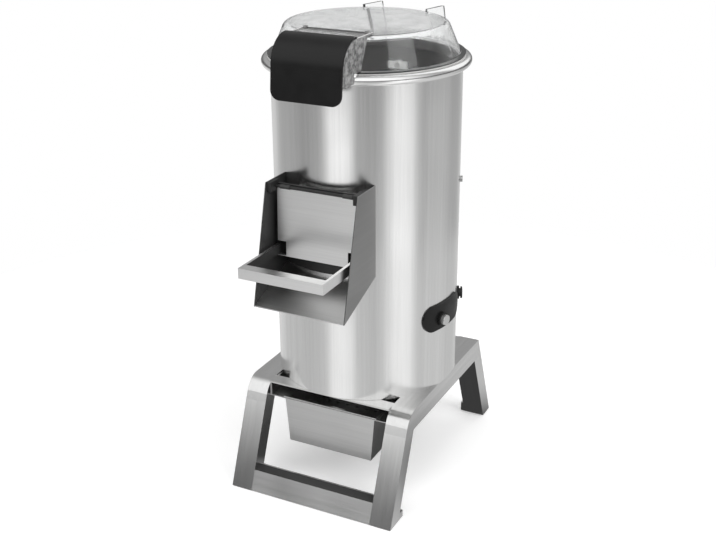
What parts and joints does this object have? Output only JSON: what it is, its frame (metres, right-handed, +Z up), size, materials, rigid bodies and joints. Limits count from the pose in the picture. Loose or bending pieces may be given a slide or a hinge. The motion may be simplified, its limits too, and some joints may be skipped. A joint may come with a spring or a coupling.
{
  "type": "electric potato peeler",
  "caption": "Floor-standing drum potato peeler on a tube stand, with a clear hinged lid, a chute door, push buttons, a spinning abrasive disc and a peel drawer.",
  "frame": {"origin": "middle of the bounding box's base, on the floor", "axes": "+Z up, -Y towards the front with the chute and door, +X towards the side with the buttons"},
  "size_m": [0.4359, 0.6672, 1.012],
  "materials": {
    "frame_steel": "brushed stainless tube, satin",
    "pad_rubber": "matt black",
    "fastener_steel": "plain stainless",
    "runner_steel": "folded stainless sheet",
    "drum_steel": "stainless sheet, fine vertical brushing",
    "rim_steel": "rolled stainless, polished bead",
    "liner_grit": "abrasive coating, rough",
    "pan_steel": "satin",
    "drain_pipe": "satin tube",
    "housing_alloy": "cast, turned faces",
    "bearing_steel": "ground steel",
    "seal_rubber": "matt black",
    "gasket_clear": "clear silicone strip",
    "inlet_plastic": "white moulding",
    "gland_plastic": "black moulding",
    "chute_steel": "stainless sheet, satin",
    "hinge_bar_black": "black moulding",
    "pin_steel": "ground rod",
    "door_steel": "stainless sheet, satin",
    "control_black": "semi-gloss black",
    "start_metal": "turned face",
    "stop_black": "black moulding",
    "box_plastic": "grey moulding",
    "shaft_steel": "turned steel",
    "disc_grit": "abrasive coating, rough",
    "pulley_alloy": "turned alloy",
    "belt_rubber": "matt black",
    "motor_paint": "painted casting",
    "lid_clear": "clear moulding, glossy",
    "visor_black": "smoked black, glossy",
    "lug_steel": "folded stainless plate",
    "drawer_steel": "satin sheet, punched basket"
  },
  "bodies": {
    "machine": {"base_plate": "drum_steel", "bearing_housing": "housing_alloy", "bearings": "bearing_steel", "button_bezels": "control_black", "cable_gland": "gland_plastic", "chamber_liner": "liner_grit", "chamber_pan": "pan_steel", "chute_floor": "chute_steel", "chute_wall_left": "chute_steel", "chute_wall_right": "chute_steel", "control_box": "box_plastic", "control_plate": "control_black", "door_hinge_bar": "hinge_bar_black", "door_hinge_rod": "hinge_bar_black", "drain_duct": "drain_pipe", "drawer_runners": "runner_steel", "drive_belt": "belt_rubber", "drum_shell": "drum_steel", "feet": "frame_steel", "foot_pads": "pad_rubber", "front_crossbar": "frame_steel", "front_leg_left": "frame_steel", "front_leg_right": "frame_steel", "lid_hinge_pin": "pin_steel", "lid_lugs": "lug_steel", "liner_screws": "fastener_steel", "motor_body": "motor_paint", "motor_bracket": "pan_steel", "motor_plate": "pan_steel", "motor_studs": "fastener_steel", "outlet_collar": "pan_steel", "rail_left": "frame_steel", "rail_right": "frame_steel", "rail_ties": "frame_steel", "rear_leg_left": "frame_steel", "rear_leg_right": "frame_steel", "rim_ring": "rim_steel", "shaft_seal": "seal_rubber", "stand_bolts": "fastener_steel", "water_inlet": "inlet_plastic"},
    "rotor": {"main_shaft": "shaft_steel", "abrasive_disc": "disc_grit", "disc_nut": "fastener_steel", "driven_pulley": "pulley_alloy"},
    "motor_rotor": {"motor_shaft": "shaft_steel", "motor_pulley": "pulley_alloy"},
    "lid": {"lid_dome": "lid_clear", "lid_gasket": "gasket_clear", "lid_hood": "lid_clear", "lid_visor": "visor_black", "hood_screws": "fastener_steel", "lid_arms": "lid_clear"},
    "door": {"door_panel": "door_steel", "door_handle": "door_steel", "door_seal": "seal_rubber"},
    "drawer": {"drawer_pan": "drawer_steel", "filter_basket": "drawer_steel", "drain_stub": "drain_pipe"},
    "start_button": {"start_button": "start_metal"},
    "stop_button": {"stop_button": "stop_black"}
  },
  "joints": [
    {"name": "lid_hinge", "type": "hinge", "parent": "machine", "child": "lid", "pos_m": [0, 0.2814, 0.925], "axis": [-1, 0, 0], "range_deg": [0, 95]},
    {"name": "door_hinge", "type": "hinge", "parent": "machine", "child": "door", "pos_m": [0, -0.1826, 0.7045], "axis": [-1, 0, 0], "range_deg": [0, 75]},
    {"name": "drawer_slide", "type": "slide", "parent": "machine", "child": "drawer", "axis": [0, -1, 0], "range_m": [0, 0.25]},
    {"name": "disc_spin", "type": "hinge", "parent": "machine", "child": "rotor", "pos_m": [0, 0.0434, 0.5], "axis": [0, 0, 1], "continuous": true},
    {"name": "motor_spin", "type": "hinge", "parent": "machine", "child": "motor_rotor", "pos_m": [0, 0.1614, 0.4], "axis": [0, 0, 1], "continuous": true},
    {"name": "start_press", "type": "slide", "parent": "machine", "child": "start_button", "axis": [-0.9763, 0.2164, 0], "range_m": [0, 0.003], "stiffness_N_per_m": 600, "springref_m": -0.001},
    {"name": "stop_press", "type": "slide", "parent": "machine", "child": "stop_button", "axis": [-0.91, -0.4147, 0], "range_m": [0, 0.003], "stiffness_N_per_m": 600, "springref_m": -0.001}
  ],
  "couplings": [
    {"joint": "motor_spin", "follows": "disc_spin", "ratio": 3.4691}
  ]
}
